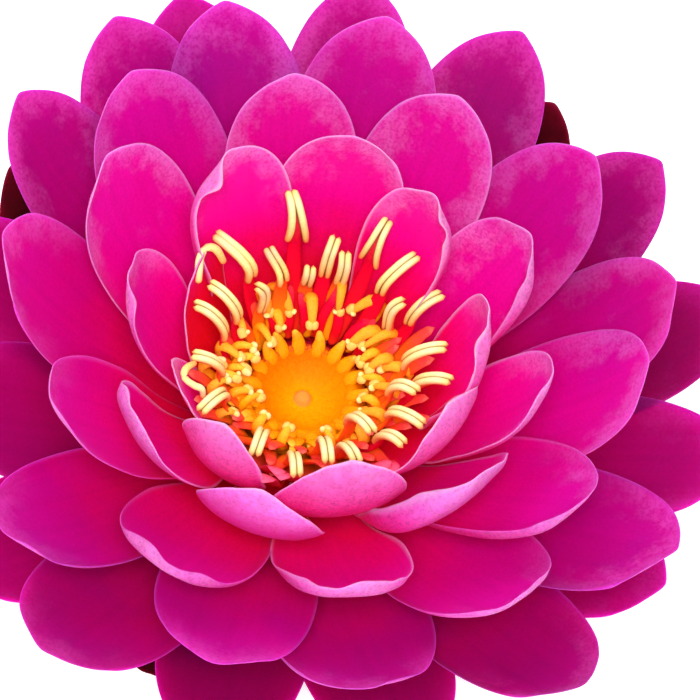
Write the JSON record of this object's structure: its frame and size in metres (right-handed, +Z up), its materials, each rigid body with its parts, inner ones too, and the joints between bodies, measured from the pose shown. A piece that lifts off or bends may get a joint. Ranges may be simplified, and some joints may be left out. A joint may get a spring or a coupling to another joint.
{
  "type": "water lily flower",
  "caption": "Open water lily flower with tiers of cupped pink petals round a ring of stamens and a hollow golden stigma, cut with a short stalk and resting upright.",
  "frame": {"origin": "the middle of the flower's outline, on the surface that it rests on; the flower's own axis stands 4.0 mm towards -X and 1.4 mm towards -Y of it", "axes": "+Z up along the flower's axis, from the cut stalk to the open face; +X to the right and +Y away as the flower is seen from its front"},
  "size_m": [0.1455, 0.1403, 0.0565],
  "materials": {
    "stalk": "fresh cut stalk tissue, brownish green, slightly waxy",
    "ovary": "golden orange stigma, moist and smooth, with radiating ridges",
    "sepal": "dark maroon outside, greenish purple inside, waxy",
    "petal_heart": "hot pink, redder towards the base, velvety with a soft sheen",
    "petal_inner": "hot pink with a paler margin, velvety with a soft sheen",
    "petal_middle": "deep pink, velvety with a soft sheen",
    "petal_outer": "magenta pink, velvety with a soft sheen",
    "petal_lower": "dark magenta, velvety with a soft sheen",
    "stamens_outer": "cream anthers on red filaments",
    "stamens_middle": "cream anthers on orange filaments",
    "stamens_inner": "pale tips on orange filaments"
  },
  "bodies": {
    "root": {"stalk": "stalk", "ovary": "ovary", "sepal_1": "sepal", "sepal_2": "sepal", "sepal_3": "sepal", "sepal_4": "sepal", "petal_heart_1": "petal_heart", "petal_heart_2": "petal_heart", "petal_heart_3": "petal_heart", "petal_heart_4": "petal_heart", "petal_heart_5": "petal_heart", "petal_heart_6": "petal_heart", "petal_heart_7": "petal_heart", "petal_heart_8": "petal_heart", "petal_heart_9": "petal_heart", "petal_inner_1": "petal_inner", "petal_inner_2": "petal_inner", "petal_inner_3": "petal_inner", "petal_inner_4": "petal_inner", "petal_inner_5": "petal_inner", "petal_inner_6": "petal_inner", "petal_inner_7": "petal_inner", "petal_inner_8": "petal_inner", "petal_inner_9": "petal_inner", "petal_inner_10": "petal_inner", "petal_middle_1": "petal_middle", "petal_middle_2": "petal_middle", "petal_middle_3": "petal_middle", "petal_middle_4": "petal_middle", "petal_middle_5": "petal_middle", "petal_middle_6": "petal_middle", "petal_middle_7": "petal_middle", "petal_middle_8": "petal_middle", "petal_middle_9": "petal_middle", "petal_middle_10": "petal_middle", "petal_outer_1": "petal_outer", "petal_outer_2": "petal_outer", "petal_outer_3": "petal_outer", "petal_outer_4": "petal_outer", "petal_outer_5": "petal_outer", "petal_outer_6": "petal_outer", "petal_outer_7": "petal_outer", "petal_outer_8": "petal_outer", "petal_outer_9": "petal_outer", "petal_outer_10": "petal_outer", "petal_outer_11": "petal_outer", "petal_outer_12": "petal_outer", "petal_lower_1": "petal_lower", "petal_lower_2": "petal_lower", "petal_lower_3": "petal_lower", "petal_lower_4": "petal_lower", "petal_lower_5": "petal_lower", "petal_lower_6": "petal_lower", "petal_lower_7": "petal_lower", "petal_lower_8": "petal_lower", "petal_lower_9": "petal_lower", "stamens_outer": "stamens_outer", "stamens_middle": "stamens_middle", "stamens_inner": "stamens_inner"}
  },
  "joints": []
}
